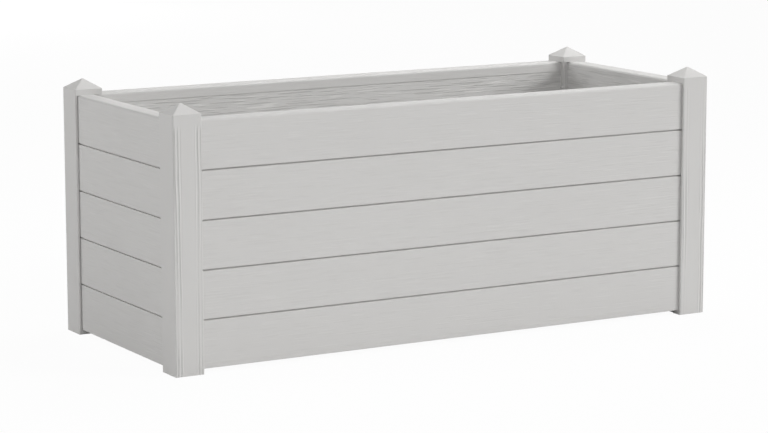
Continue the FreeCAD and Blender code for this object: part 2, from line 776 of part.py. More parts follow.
def make_fill_cap():
    """A round lid with a plug underneath, a finger tab and a hinge arm; its underside is at the origin."""
    body = new_body("fill_cap")
    plug_radius = fill_bore - s.plug_gap
    plug_inside = plug_radius - s.plug_wall
    turned(body, [
        (0, 0),
        (plug_inside, 0),
        (plug_inside, -s.plug_depth),
        (plug_radius, -s.plug_depth),
        (plug_radius, 0),
        (collar_radius, 0),
        (collar_radius, s.lid_thick, s.lid_round),
        (0, s.lid_thick),
    ])
    flat_parts = new_sketch(body, "XY_Plane")
    tab_end = -collar_radius - s.tab_reach
    half_tab = s.tab_width / 2
    half_arm = s.hinge_arm / 2
    draw_outline(flat_parts, box_corners(tab_end, -plug_radius, -half_tab, half_tab))
    draw_outline(flat_parts, box_corners(plug_radius, hinge_x, -half_arm, half_arm))
    pad(body, flat_parts, s.lid_thick - s.lid_round)
    knuckle = new_sketch(body, "XZ_Plane", half_arm)
    draw_circle(knuckle, hinge_x, s.hinge_rise, s.knuckle_radius)
    pad(body, knuckle, s.hinge_arm)
    hole = new_sketch(body, "XZ_Plane", half_arm)
    draw_circle(hole, hinge_x, s.hinge_rise, s.hinge_pin_radius + s.hinge_pin_gap)
    pocket(body, hole, s.hinge_arm, backwards=True)
    return body


def make_hinge_pin():
    pin = doc.addObject("Part::Cylinder", "hinge_pin")
    pin.Label = "hinge_pin"
    pin.setExpression("Radius", s.hinge_pin_radius.formula)
    pin.setExpression("Height", (ear_outside * 2).formula)
    along_y = FreeCAD.Rotation(FreeCAD.Vector(1, 0, 0), -90)
    pin.Placement = FreeCAD.Placement(FreeCAD.Vector(), along_y)
    tie_place(pin, hinge_x - pipe_x, pipe_y - ear_outside, collar_top + s.hinge_rise)
    pieces.append(pin)


def make_gauge_tube():
    """A guide tube through the platform, with a flange on it and a ring at its foot."""
    body = new_body("gauge_tube")
    bottom = water_floor + s.gauge_lift
    bore = s.gauge_radius - s.gauge_wall
    flange_radius = s.gauge_radius + s.gauge_flange
    turned(body, [
        (s.gauge_inlet_radius, bottom),
        (s.gauge_radius, bottom),
        (s.gauge_radius, plate_top),
        (flange_radius, plate_top),
        (flange_radius, plate_top + s.flange_thick),
        (s.gauge_radius, plate_top + s.flange_thick),
        (s.gauge_radius, pipe_top),
        (bore, pipe_top),
        (bore, float_bottom),
        (s.gauge_inlet_radius, float_bottom),
    ])
    return body


def make_gauge_cap():
    """A cap on the gauge tube with a hole that guides the stem."""
    body = new_body("gauge_cap")
    inside = s.gauge_radius + s.gauge_gap
    outside = inside + s.guide_wall
    guide = s.stem_radius + s.stem_gap
    turned(body, [
        (guide, 0),
        (inside, 0),
        (inside, -s.guide_skirt),
        (outside, -s.guide_skirt),
        (outside, s.guide_thick, s.lid_round),
        (guide, s.guide_thick),
    ])
    return body


def make_float():
    """A round float with a blind seat for the stem; its bottom is at the origin."""
    body = new_body("gauge_float")
    seat_radius = s.stem_radius + s.seat_gap
    seat_bottom = s.float_height - s.stem_seat
    turned(body, [
        (0, 0),
        (s.float_radius, 0, s.float_round),
        (s.float_radius, s.float_height, s.float_round),
        (seat_radius, s.float_height),
        (seat_radius, seat_bottom),
        (0, seat_bottom),
    ])
    return body


def make_stem():
    stem = doc.addObject("Part::Cylinder", "gauge_stem")
    stem.Label = "gauge_stem"
    stem.setExpression("Radius", s.stem_radius.formula)
    stem.setExpression("Height", (stem_top - stem_bottom).formula)
    return stem


def make_tip():
    """A knob on the stem's end, seen when the float lifts it; its underside is at the origin."""
    body = new_body("gauge_tip")
    seat_radius = s.stem_radius + s.seat_gap
    turned(body, [
        (seat_radius, 0),
        (s.tip_radius, 0),
        (s.tip_radius, s.tip_height, s.tip_round),
        (0, s.tip_height),
        (0, s.tip_seat),
        (seat_radius, s.tip_seat),
    ])
    return body


def make_overflow_pipe():
    """A standpipe through the tray's floor; the floor's upper face is at the origin."""
    body = new_body("overflow_pipe")
    bore = s.overflow_radius - s.overflow_wall
    tail = -s.tray_floor - s.overflow_tail
    flange_radius = s.overflow_radius + s.overflow_flange
    flange_top = s.gasket_thick + s.overflow_wall
    turned(body, [
        (bore, tail),
        (s.overflow_radius, tail),
        (s.overflow_radius, s.gasket_thick),
        (flange_radius, s.gasket_thick),
        (flange_radius, flange_top),
        (s.overflow_radius, flange_top),
        (s.overflow_radius, s.overflow_level),
        (bore, s.overflow_level),
    ])
    return body


def make_overflow_gasket():
    body = new_body("overflow_gasket")
    inside = s.overflow_radius + s.overflow_gap
    turned(body, box_corners(inside, s.overflow_radius + s.overflow_flange, 0, s.gasket_thick))
    return body


def make_overflow_nut():
    """A hexagon nut under the tray's floor; its upper face is at the origin."""
    body = new_body("overflow_nut")
    section = new_sketch(body, "XY_Plane")
    half_flats = s.nut_flats / 2
    corner_reach = s.nut_flats / math.sqrt(3)
    draw_outline(section, [
        (corner_reach, 0),
        (corner_reach / 2, half_flats),
        (corner_reach / -2, half_flats),
        (-corner_reach, 0),
        (corner_reach / -2, -half_flats),
        (corner_reach / 2, -half_flats),
    ])
    draw_circle(section, 0, 0, s.overflow_radius + s.overflow_gap)
    pad(body, section, s.nut_height, backwards=True)
    return body


# Posts and caps, counted round the box from the front left corner
POST_CORNERS = (
    (s.length / -2, s.width / -2),
    (s.length / 2, s.width / -2),
    (s.length / 2, s.width / 2),
    (s.length / -2, s.width / 2),
)
POST_NAMES = ("front_left", "front_right", "back_right", "back_left")
for index, (name, (x, y)) in enumerate(zip(POST_NAMES, POST_CORNERS)):
    keep(make_post("post_" + name), x, y, 0, 90 * index)
    keep(make_cap("cap_" + name), x, y, wall_top, 90 * index)

# Walls of boards, counted from the lowest
end_inset = groove_bottom + s.board_end_gap
long_board = s.length - end_inset * 2
short_board = s.width - end_inset * 2
face_x = s.length / 2 - s.post_proud
face_y = s.width / 2 - s.post_proud
WALLS = (
    ("front", long_board, -long_board / 2, -face_y),
    ("right", short_board, face_x, -short_board / 2),
    ("back", long_board, long_board / 2, face_y),
    ("left", short_board, -face_x, short_board / 2),
)
for index, (wall, board_length, x, y) in enumerate(WALLS):
    for board in range(BOARD_ROWS):
        is_long = wall in ("front", "back")
        is_top = board == BOARD_ROWS - 1
        rail_holes = rail_screw_offsets() if is_long and board == 0 else []
        label = "%s_board_%d" % (wall, board + 1)
        body = make_board(label, board_length, is_top, is_long and is_top, rail_holes)
        keep(body, x, y, s.foot_height + s.board_pitch * board, 90 * index)
screw_group("corner_screws", screw_shape(post_inside - wall_inset), corner_screw_seats())

# Floor
rail_length = s.length - (s.post_side + s.rail_end_gap) * 2
keep(make_rail("floor_rail_front", rail_length), 0, -cavity_y, rail_bottom)
keep(make_rail("floor_rail_back", rail_length), 0, cavity_y, rail_bottom, 180)
screw_group("rail_screws", screw_shape(s.rail_thick), rail_screw_seats())
for index, offset in enumerate(slat_offsets()):
    slat = make_slat("floor_slat_%d" % (index + 1))
    keep(slat, offset - s.slat_width / 2, s.slat_end_gap - cavity_y, slat_bottom)

# Reservoir and its overflow
keep(make_tray(), z=tray_bottom)
keep(make_overflow_pipe(), overflow_x, overflow_y, water_floor)
keep(make_overflow_gasket(), overflow_x, overflow_y, water_floor)
keep(make_overflow_nut(), overflow_x, overflow_y, tray_bottom)

# Soil platform with its battens and baskets
keep(make_platform(), z=plate_bottom)
batten_end = tray_x - s.tray_corner
batten_outside = tray_y - s.tray_wall - s.batten_gap
batten_inside = batten_outside - s.batten_thick
batten_bottom = plate_bottom - s.batten_depth
keep(make_batten("platform_batten_front", batten_end * 2), -batten_end, -batten_outside, batten_bottom)
keep(make_batten("platform_batten_back", batten_end * 2), -batten_end, batten_inside, batten_bottom)
for index, offset in enumerate(basket_offsets()):
    keep(make_basket("wick_basket_%d" % (index + 1)), offset, 0, plate_top)

# Fill tube
keep(make_fill_tube(), -pipe_x, pipe_y, plate_top)
keep(make_fill_collar(), -pipe_x, pipe_y, collar_top)
keep(make_fill_cap(), -pipe_x, pipe_y, collar_top)
make_hinge_pin()

# Level gauge
keep(make_gauge_tube(), pipe_x, pipe_y)
keep(make_gauge_cap(), pipe_x, pipe_y, pipe_top)
keep(make_float(), pipe_x, pipe_y, float_bottom)
keep(make_stem(), pipe_x, pipe_y, stem_bottom)
keep(make_tip(), pipe_x, pipe_y, tip_bottom)

doc.recompute()

for item in doc.Objects:
    if {"Invalid", "Error"} & set(item.State):
        raise RuntimeError("%s failed: %s" % (item.Label, item.State))
    if item.TypeId == "PartDesign::Pocket" and item.Shape.Volume >= item.BaseFeature.Shape.Volume:
        raise RuntimeError("a pocket of %s cuts nothing" % item.getParent().Label)
for piece in pieces:
    if piece.Shape.isNull() or not piece.Shape.isValid():
        raise RuntimeError("%s has no valid shape" % piece.Label)

os.makedirs("parts", exist_ok=True)
for piece in pieces:
    piece.Shape.exportStep(os.path.join("parts", piece.Label + ".step"))
print(len(pieces), "pieces written")
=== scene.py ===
import math

import bmesh
import bpy
from mathutils import Matrix, Quaternion, Vector


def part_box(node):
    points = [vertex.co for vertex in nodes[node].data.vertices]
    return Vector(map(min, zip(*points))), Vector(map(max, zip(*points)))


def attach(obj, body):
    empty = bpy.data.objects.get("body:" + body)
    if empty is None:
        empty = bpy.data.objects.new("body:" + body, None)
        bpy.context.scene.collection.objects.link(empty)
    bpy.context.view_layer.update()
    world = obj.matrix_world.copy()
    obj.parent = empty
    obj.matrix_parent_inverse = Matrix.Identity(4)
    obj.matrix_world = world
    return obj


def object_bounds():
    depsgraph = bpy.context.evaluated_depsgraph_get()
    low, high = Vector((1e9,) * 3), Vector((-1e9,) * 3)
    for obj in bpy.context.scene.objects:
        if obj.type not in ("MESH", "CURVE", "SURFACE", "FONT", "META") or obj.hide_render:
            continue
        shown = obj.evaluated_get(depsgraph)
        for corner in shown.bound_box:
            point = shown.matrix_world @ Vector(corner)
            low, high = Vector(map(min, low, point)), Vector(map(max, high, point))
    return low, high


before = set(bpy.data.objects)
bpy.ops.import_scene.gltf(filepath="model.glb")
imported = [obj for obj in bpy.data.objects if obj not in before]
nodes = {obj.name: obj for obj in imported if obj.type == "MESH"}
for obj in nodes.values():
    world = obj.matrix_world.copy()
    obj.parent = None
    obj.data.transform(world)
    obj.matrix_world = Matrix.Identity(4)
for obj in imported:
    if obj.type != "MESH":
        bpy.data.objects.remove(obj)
cad_box = [list(corner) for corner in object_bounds()]
scene = bpy.context.scene

# Places that the materials follow, metres; the middles are distances from the middle of the box
post_low, post_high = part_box("post_front_left")
post_x = -(post_low[0] + post_high[0]) / 2
post_y = -(post_low[1] + post_high[1]) / 2
post_half = (post_high[0] - post_low[0]) / 2
long_low, long_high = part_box("front_board_5")
short_low, short_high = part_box("left_board_5")
wall_top = long_high[2]
long_middle = -(long_low[1] + long_high[1]) / 2
short_middle = -(short_low[0] + short_high[0]) / 2

# Colours, linear
COMPOSITE = (0.606, 0.599, 0.588)
FLOOR_COMPOSITE = (0.40, 0.39, 0.375)
STEEL = (0.50, 0.50, 0.50)
SCREW_COAT = (0.56, 0.553, 0.543)
# Painted shade of the screw heads' cross recesses
RECESS_PAINTED_SHADE = (0.20, 0.20, 0.20)
TRAY = (0.045, 0.046, 0.050)
PLATFORM = (0.46, 0.46, 0.455)
PIPE = (0.20, 0.20, 0.205)
LID = (0.050, 0.050, 0.053)
RUBBER = (0.030, 0.030, 0.030)
FLOAT = (0.75, 0.74, 0.70)
STEM = (0.70, 0.70, 0.68)
MARKER = (0.55, 0.030, 0.025)
WHITE = (1.0, 1.0, 1.0, 1.0)

# Noise: the span that most of it lies in, and the furthest that a piece's own is shifted, metres
NOISE_SPAN = (0.3, 0.7)
NOISE_WIDE_SPAN = (0.25, 0.75)
NOISE_SHIFT = (3.1, 5.3, 7.7)


class Graph:
    """Shader nodes that are made and joined one after another."""

    def __init__(self, tree):
        self.tree = tree

    def node(self, kind, inputs, **settings):
        """A new node with its settings, its inputs given as numbers or as other nodes' outputs."""
        made = self.tree.nodes.new(kind)
        for name, value in settings.items():
            setattr(made, name, value)
        for socket, value in inputs.items():
            self.feed(made.inputs[socket], value)
        return made

    def feed(self, socket, value):
        if isinstance(value, bpy.types.NodeSocket):
            self.tree.links.new(value, socket)
        else:
            socket.default_value = value

    def math(self, operation, *values):
        inputs = dict(enumerate(values))
        return self.node("ShaderNodeMath", inputs, operation=operation).outputs[0]

    def vector_math(self, operation, inputs):
        return self.node("ShaderNodeVectorMath", inputs, operation=operation).outputs[0]

    def mix(self, share, first, second):
        """The share of a second shader in a first one."""
        return self.node("ShaderNodeMixShader", {0: share, 1: first, 2: second}).outputs[0]


class Surface(Graph):
    """A material while it is being put together."""

    def __init__(self, name, roughness, specular=0.4, metallic=0.0):
        self.material = bpy.data.materials.new(name)
        self.material.use_nodes = True
        super().__init__(self.material.node_tree)
        self.shader = self.tree.nodes["Principled BSDF"]
        self.shader.inputs["Roughness"].default_value = roughness
        self.shader.inputs["Specular IOR Level"].default_value = specular
        self.shader.inputs["Metallic"].default_value = metallic

    def place(self):
        """A point of the piece, in the frame's metres at rest."""
        return self.node("ShaderNodeTexCoord", {}).outputs["Object"]

    def split(self, vector):
        return self.node("ShaderNodeSeparateXYZ", {"Vector": vector}).outputs

    def from_middle(self, coordinate, middle):
        """How far a coordinate is from a middle that lies on both sides of the box."""
        mirrored = self.math("ABSOLUTE", coordinate)
        return self.math("ABSOLUTE", self.math("SUBTRACT", mirrored, middle))

    def own_place(self, scales):
        """A point shifted so that no two pieces match, and stretched by a scale for each axis."""
        chance = self.node("ShaderNodeObjectInfo", {}).outputs["Random"]
        shift = self.vector_math("SCALE", {0: NOISE_SHIFT, "Scale": chance})
        moved = self.vector_math("ADD", {0: self.place(), 1: shift})
        return self.node("ShaderNodeMapping", {"Vector": moved, "Scale": scales}).outputs[0]

    def noise(self, scales, detail=3.0, roughness=0.5, distortion=0.0):
        """Noise from 0 to 1, its scales per metre along each axis."""
        inputs = {
            "Vector": self.own_place(scales),
            "Scale": 1.0,
            "Detail": detail,
            "Roughness": roughness,
            "Distortion": distortion,
        }
        return self.node("ShaderNodeTexNoise", inputs).outputs["Fac"]

    def band(self, value, low, high, to_low=0.0, to_high=1.0):
        """The value carried smoothly from one range to another."""
        inputs = {
            "Value": value,
            "From Min": low,
            "From Max": high,
            "To Min": to_low,
            "To Max": to_high,
        }
        made = self.node("ShaderNodeMapRange", inputs, interpolation_type="SMOOTHSTEP")
        return made.outputs["Result"]

    def vary(self, noise, low, high):
        """Noise carried to a range."""
        return self.band(noise, *NOISE_SPAN, low, high)

    def vary_about(self, noise, middle, spread):
        """Noise carried to a spread on both sides of a middle."""
        return self.vary(noise, middle - spread, middle + spread)

    def tint(self, colour, amount):
        """The colour made lighter or darker by a factor about 1."""
        made = self.vector_math("SCALE", {0: colour, "Scale": amount})
        self.feed(self.shader.inputs["Base Color"], made)

    def relief(self, height, depth):
        """Bumps from a height, of which 1 is that many metres."""
        inputs = {"Height": height, "Distance": depth, "Strength": 1.0}
        bump = self.node("ShaderNodeBump", inputs)
        self.feed(self.shader.inputs["Normal"], bump.outputs[0])

    def vary_roughness(self, noise, low, high):
        value = self.band(noise, *NOISE_WIDE_SPAN, low, high)
        self.feed(self.shader.inputs["Roughness"], value)


# Grain of the boards: noise scales along and across a board, per metre
DASH_SCALES = (19.0, 480.0)
PATCH_SCALES = (9.0, 30.0)
FINE_SCALES = (70.0, 900.0)
CLOUD_SCALES = (3.0, 9.0)

# Noise at which a dash begins and is whole, and how far patches shift it
RAISED_DASH = (0.62, 0.72)
SUNK_DASH = (0.38, 0.28)
PATCH_SHIFT = 0.02

# Strong dashes, metres: how far below the rim they start on long and short boards, and their fades
SEAM_DROP = 0.0174
RIM_DROP = 0.004
TOP_FADE = 0.001
INNER_FADE = 0.004

# Strength of the dashes, and of their painted highlight and shade, inside the long walls, inside
# the short walls and outside
LONG_STRENGTH = 1.0
SHORT_STRENGTH = 0.9
OUTER_STRENGTH = 0.2

# Relief of the grain: its depth in metres, and the fine grain's share of it
GRAIN_DEPTH = 0.0004
FINE_HEIGHT = 0.05

# Tints of the grain, as shares of the colour, and its roughness: raised dashes painted lighter as
# painted highlight, sunk dashes painted darker as painted shade, inner faces painted lighter as
# painted light, and random streaks and clouds of tone
RAISED_PAINTED_HIGHLIGHT = 0.13
SUNK_PAINTED_SHADE = -0.12
INNER_PAINTED_LIGHT = 0.04
STREAK_TINT = 0.008
CLOUD_TINT = 0.006
GRAIN_ROUGHNESS = (0.55, 0.7)


def axis_scale(axis, along, across):
    """Noise stretched along one axis."""
    return tuple(along if index == axis else across for index in range(3))


def make_board_grain(name, axis, middle, dash_top, inner_strength):
    """Composite embossed with short raised and sunk dashes along an axis.

    The dashes are faint on the outer side, and strong inside the wall below a given height. Raised
    dashes are painted lighter as painted highlight, sunk ones darker as painted shade, and the
    inner faces lighter as painted light.
    """
    surface = Surface(name, roughness=0.6)
    place = surface.split(surface.place())
    across = surface.math("ABSOLUTE", place[1 - axis])
    inside = surface.band(across, middle, middle - INNER_FADE)
    below = surface.band(place[2], dash_top, dash_top - TOP_FADE)
    rich = surface.math("MULTIPLY", inside, below)
    dashes = surface.noise(axis_scale(axis, *DASH_SCALES), detail=0.0)
    patches = surface.noise(axis_scale(axis, *PATCH_SCALES), detail=1.0)
    dense = surface.vary_about(patches, 0.0, PATCH_SHIFT)
    raised = surface.band(surface.math("ADD", dashes, dense), *RAISED_DASH)
    sunk = surface.band(surface.math("SUBTRACT", dashes, dense), *SUNK_DASH)
    strength = surface.band(rich, 0.0, 1.0, OUTER_STRENGTH, inner_strength)
    fine = surface.noise(axis_scale(axis, *FINE_SCALES), detail=2.0, roughness=0.6)
    cloud = surface.noise(axis_scale(axis, *CLOUD_SCALES), detail=2.0)
    form = surface.math("MULTIPLY", surface.math("SUBTRACT", raised, sunk), strength)
    surface.relief(surface.math("MULTIPLY_ADD", fine, FINE_HEIGHT, form), GRAIN_DEPTH)
    # Raised dashes painted lighter as painted highlight, sunk dashes painted darker as painted
    # shade
    dash_painted_highlight = surface.math("MULTIPLY", raised, RAISED_PAINTED_HIGHLIGHT)
    dash_highlight_and_shade = surface.math("MULTIPLY_ADD", sunk, SUNK_PAINTED_SHADE, dash_painted_highlight)
    dash_painted_light = surface.math("MULTIPLY", dash_highlight_and_shade, strength)
    streak = surface.vary_about(fine, 0.0, STREAK_TINT)
    shade = surface.math("ADD", streak, surface.vary_about(cloud, 1.0, CLOUD_TINT))
    # Inner faces painted lighter, as painted light
    shade = surface.math("MULTIPLY_ADD", inside, INNER_PAINTED_LIGHT, shade)
    surface.tint(COMPOSITE, surface.math("ADD", shade, dash_painted_light))
    surface.vary_roughness(fine, *GRAIN_ROUGHNESS)
    return surface.material


# Upright lines on the posts, metres
LINE_PITCH = 0.0054
LINE_WANDER = 0.0012
LINE_TOP_DROP = 0.004
LINE_WHOLE_DROP = 0.020
LINE_DEPTH = 0.0004

# Where the lines begin and are whole, from the middle of a post's face
LINE_EDGE = (0.42 * post_half, 0.56 * post_half)

# Cut between two lines, against 1 in a line, and a line's painted shade as a share of the colour,
# which also paints the ridges between lines lighter as painted highlight
LINE_RIDGE = -0.7
LINE_SHADE_AND_HIGHLIGHT = -0.11

# Noise that bends the lines, and noise that makes them faint in places
WANDER_SCALES = (30.0, 30.0, 5.0)
RUN_SCALES = (60.0, 60.0, 7.0)
RUN_SPAN = (0.38, 0.6)
RUN_LEAST = 0.2

# Fine grain of the posts
POST_FINE_SCALES = (900.0, 900.0, 12.0)
POST_FINE_HEIGHT = 0.10
POST_FINE_TINT = 0.006


def make_post_grain(name):
    """Composite with upright lines near the edges of the front and back faces.

    The lines wander, grow faint here and there, and fade out at the top. Their grooves are painted
    darker as painted shade, and the ridges between them lighter as painted highlight.
    """
    surface = Surface(name, roughness=0.6)
    place = surface.split(surface.place())
    from_x = surface.from_middle(place[0], post_x)
    from_y = surface.from_middle(place[1], post_y)
    on_front = surface.math("LESS_THAN", from_x, from_y)
    wander = surface.vary_about(surface.noise(WANDER_SCALES, detail=1.0), 0.0, LINE_WANDER)
    bent = surface.math("ADD", from_x, wander)
    turn = surface.math("DIVIDE", bent, LINE_PITCH / (2 * math.pi))
    line = surface.band(surface.math("COSINE", turn), -1.0, 1.0, LINE_RIDGE, 1.0)
    edge = surface.math("MULTIPLY", on_front, surface.band(from_x, *LINE_EDGE))
    top = surface.band(place[2], wall_top - LINE_TOP_DROP, wall_top - LINE_WHOLE_DROP)
    run = surface.band(surface.noise(RUN_SCALES, detail=1.0), *RUN_SPAN, RUN_LEAST, 1.0)
    shown = surface.math("MULTIPLY", top, run)
    cut = surface.math("MULTIPLY", surface.math("MULTIPLY", line, edge), shown)
    fine = surface.noise(POST_FINE_SCALES, detail=2.0, roughness=0.6)
    ground = surface.math("MULTIPLY", fine, POST_FINE_HEIGHT)
    surface.relief(surface.math("SUBTRACT", ground, cut), LINE_DEPTH)
    shade = surface.vary_about(fine, 1.0, POST_FINE_TINT)
    # Grooves painted darker as painted shade, ridges between them painted lighter as painted
    # highlight
    surface.tint(COMPOSITE, surface.math("MULTIPLY_ADD", cut, LINE_SHADE_AND_HIGHLIGHT, shade))
    surface.vary_roughness(fine, *GRAIN_ROUGHNESS)
    return surface.material


# Moulded plastic
SKIN_SCALES = (900.0, 900.0, 900.0)
FLOW_SCALES = (14.0, 14.0, 9.0)
SKIN_SHARE = 0.35
FLOW_SHARE = 0.65
ROUGHNESS_SPREAD = 0.06


def make_moulded(name, colour, roughness, speckle=0.05, depth=0.00006, specular=0.4):
    """Moulded plastic with a fine spark-eroded skin and faint flow marks."""
    surface = Surface(name, roughness, specular)
    skin = surface.noise(SKIN_SCALES, detail=2.0)
    flow = surface.noise(FLOW_SCALES, detail=3.0, roughness=0.55, distortion=0.8)
    specks = surface.math("MULTIPLY", skin, SKIN_SHARE)
    mixed = surface.math("ADD", specks, surface.math("MULTIPLY", flow, FLOW_SHARE))
    surface.tint(colour, surface.vary_about(mixed, 1.0, speckle))
    surface.relief(skin, depth)
    surface.vary_roughness(flow, roughness - ROUGHNESS_SPREAD, roughness + ROUGHNESS_SPREAD)
    return surface.material


# Drawn steel
DRAWN_SCALES = (600.0, 600.0, 2500.0)


def make_steel(name):
    """Bare steel with fine drawing marks."""
    surface = Surface(name, roughness=0.35, specular=0.5, metallic=1.0)
    drawn = surface.noise(DRAWN_SCALES, detail=2.0)
    surface.tint(STEEL, surface.vary(drawn, low=0.85, high=1.1))
    surface.vary_roughness(drawn, low=0.3, high=0.5)
    return surface.material


# Rings on the gauge's stem, metres, and tints as shares of the colour
MARK_PITCH = 0.010
MARK_WIDTH = 0.0015
MARK_TINT = -0.85
STEM_TINT = 0.03
STEM_SCALES = (200.0, 200.0, 40.0)


def make_ringed(name, colour):
    """A rod with dark rings round it at an even pitch, to read the level by."""
    surface = Surface(name, roughness=0.3, specular=0.5)
    height = surface.split(surface.place())[2]
    turn = surface.math("FRACT", surface.math("DIVIDE", height, MARK_PITCH))
    mark = surface.math("LESS_THAN", turn, MARK_WIDTH / MARK_PITCH)
    grain = surface.noise(STEM_SCALES, detail=2.0)
    clean = surface.vary_about(grain, 1.0, STEM_TINT)
    surface.tint(colour, surface.math("MULTIPLY_ADD", mark, MARK_TINT, clean))
    surface.vary_roughness(grain, low=0.25, high=0.4)
    return surface.material


# Materials
board_long = make_board_grain(
    "board_grain_along",
    axis=0,
    middle=long_middle,
    dash_top=wall_top - SEAM_DROP,
    inner_strength=LONG_STRENGTH,
)
board_short = make_board_grain(
    "board_grain_across",
    axis=1,
    middle=short_middle,
    dash_top=wall_top - RIM_DROP,
    inner_strength=SHORT_STRENGTH,
)
post_grain = make_post_grain("post_grain_upright")
cap_skin = make_moulded("cap_moulded", COMPOSITE, roughness=0.6, speckle=0.012)
slat_grain = make_moulded(
    "floor_composite", FLOOR_COMPOSITE, roughness=0.7, speckle=0.08, depth=0.0002
)
steel = make_steel("stainless_steel")
screw_coat = make_moulded("screw_coating", SCREW_COAT, roughness=0.5, speckle=0.06)
# Painted shade of the screw heads' cross recesses
painted_recess_shade = make_moulded("painted_recess_shade", RECESS_PAINTED_SHADE, roughness=0.5, speckle=0.2)
tray_skin = make_moulded("tray_moulded", TRAY, roughness=0.45, speckle=0.12)
platform_skin = make_moulded("platform_moulded", PLATFORM, roughness=0.5, speckle=0.12)
pipe_skin = make_moulded("pipe_grey", PIPE, roughness=0.4, speckle=0.05)
lid_skin = make_moulded("lid_moulded", LID, roughness=0.42, speckle=0.1)
rubber = make_moulded(
    "gasket_rubber", RUBBER, roughness=0.75, speckle=0.2, depth=0.0001, specular=0.25
)
float_skin = make_moulded("float_foam", FLOAT, roughness=0.7, speckle=0.04, depth=0.0003)
stem_skin = make_ringed("stem_ringed", STEM)
marker_skin = make_moulded("marker_red", MARKER, roughness=0.3, speckle=0.04)

# What each node is made of, by how its name starts
LOOKS = (
    ("front_board_", board_long),
    ("back_board_", board_long),
    ("left_board_", board_short),
    ("right_board_", board_short),
    ("post_", post_grain),
    ("cap_", cap_skin),
    ("floor_", slat_grain),
    ("corner_screws", screw_coat),
    ("rail_screws", screw_coat),
    ("hinge_pin", steel),
    ("reservoir_tray", tray_skin),
    ("soil_platform", platform_skin),
    ("platform_batten_", platform_skin),
    ("wick_basket_", platform_skin),
    ("fill_tube", pipe_skin),
    ("fill_collar", pipe_skin),
    ("gauge_tube", pipe_skin),
    ("overflow_pipe", pipe_skin),
    ("overflow_nut", pipe_skin),
    ("overflow_gasket", rubber),
    ("fill_cap", lid_skin),
    ("gauge_cap", lid_skin),
    ("gauge_float", float_skin),
    ("gauge_stem", stem_skin),
    ("gauge_tip", marker_skin),
)
for name, piece in nodes.items():
    look = next(material for start, material in LOOKS if name.startswith(start))
    piece.data.materials.clear()
    piece.data.materials.append(look)


def add_raised(mesh, outline, low, high, draft, place):
    """A flat shape raised from one height to another, narrower at the top by a draft factor."""
    middle = sum((Vector(point) for point in outline), Vector((0.0, 0.0))) / len(outline)
    rings = []
    for height, factor in ((low, 1.0), (high, draft)):
        rise = place.col[2].to_3d() * height
        points = [middle + (Vector(point) - middle) * factor for point in outline]
        rings.append([mesh.verts.new(place @ point.to_3d() + rise) for point in points])
    bottom, top = rings
    mesh.faces.new(top)
    for index in range(len(outline)):
        mesh.faces.new((bottom[index - 1], bottom[index], top[index], top[index - 1]))


def add_ring(mesh, inner, outer, low, high, place, steps=64, flank_share=0.25):
    """A raised ring with sloping flanks, each a share of its width."""
    flank = (outer - inner) * flank_share
    profile = ((inner, low), (inner + flank, high), (outer - flank, high), (outer, low))
    loops = []
    for step in range(steps):
        angle = 2 * math.pi * step / steps
        loop = []
        for radius, height in profile:
            point = Vector((radius * math.cos(angle), radius * math.sin(angle), height))
            loop.append(mesh.verts.new(place @ point))
        loops.append(loop)
    for step in range(steps):
        last, this = loops[step - 1], loops[step]
        for side in range(len(profile) - 1):
            mesh.faces.new((last[side], this[side], this[side + 1], last[side + 1]))


def finish_piece(mesh, name, material, body):
    """A mesh made into a piece that rides on a body."""
    bmesh.ops.recalc_face_normals(mesh, faces=mesh.faces)
    data = bpy.data.meshes.new(name)
    mesh.to_mesh(data)
    mesh.free()
    data.materials.append(material)
    piece = bpy.data.objects.new(name, data)
    scene.collection.objects.link(piece)
    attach(piece, body)


# Screw heads, metres: their height, and their places from the box's corners and a board's bottom
HEAD_HEIGHT = 0.0026
POST_FACE_INSET = 0.0455
SCREW_INSET = 0.041325
SCREW_LOW = 0.018
SCREW_HIGH = 0.032
RAIL_SCREW_STEPS = (-0.27, -0.09, 0.09, 0.27)
ROWS = 5

# Cross on a screw head, metres: half a bar's width, an arm's length, heights from the head's top
BAR = 0.0004
ARM = 0.0015
CROSS = (
    (BAR, BAR), (BAR, ARM), (-BAR, ARM), (-BAR, BAR), (-ARM, BAR), (-ARM, -BAR),
    (-BAR, -BAR), (-BAR, -ARM), (BAR, -ARM), (BAR, -BAR), (ARM, -BAR), (ARM, BAR),
)
CROSS_SUNK = -0.0004
CROSS_PROUD = 0.00004
CROSS_DRAFT = 0.9
UP = Vector((0.0, 0.0, 1.0))


def facing(place, outward, up):
    """A matrix whose third axis points outward and whose second axis points up."""
    side = up.cross(outward)
    turn = Matrix((side, up, outward)).transposed()
    return Matrix.Translation(place) @ turn.to_4x4()


def corner_heads(x_side, y_side):
    """Where a corner's screw heads sit, and which way they face.

    The screws of the two walls take turns in height.
    """
    corner = Vector((x_side * cad_box[1][0], y_side * cad_box[1][1], 0.0))
    long_rise, short_rise = SCREW_LOW, SCREW_HIGH
    if x_side != y_side:
        long_rise, short_rise = SCREW_HIGH, SCREW_LOW
    found = []
    for row in range(1, ROWS + 1):
        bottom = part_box("front_board_%d" % row)[0][2]
        long_seat = Vector((-x_side * SCREW_INSET, -y_side * POST_FACE_INSET, bottom + long_rise))
        short_seat = Vector((-x_side * POST_FACE_INSET, -y_side * SCREW_INSET, bottom + short_rise))
        found.append((corner + long_seat, Vector((0.0, -y_side, 0.0))))
        found.append((corner + short_seat, Vector((-x_side, 0.0, 0.0))))
    return found


def rail_heads(name, side):
    """Where a floor rail's screw heads sit, and which way they face."""
    low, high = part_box(name)
    face = high[1] if side > 0 else low[1]
    middle = (low[2] + high[2]) / 2
    outward = Vector((0.0, side, 0.0))
    return [(Vector((step, face, middle)), outward) for step in RAIL_SCREW_STEPS]


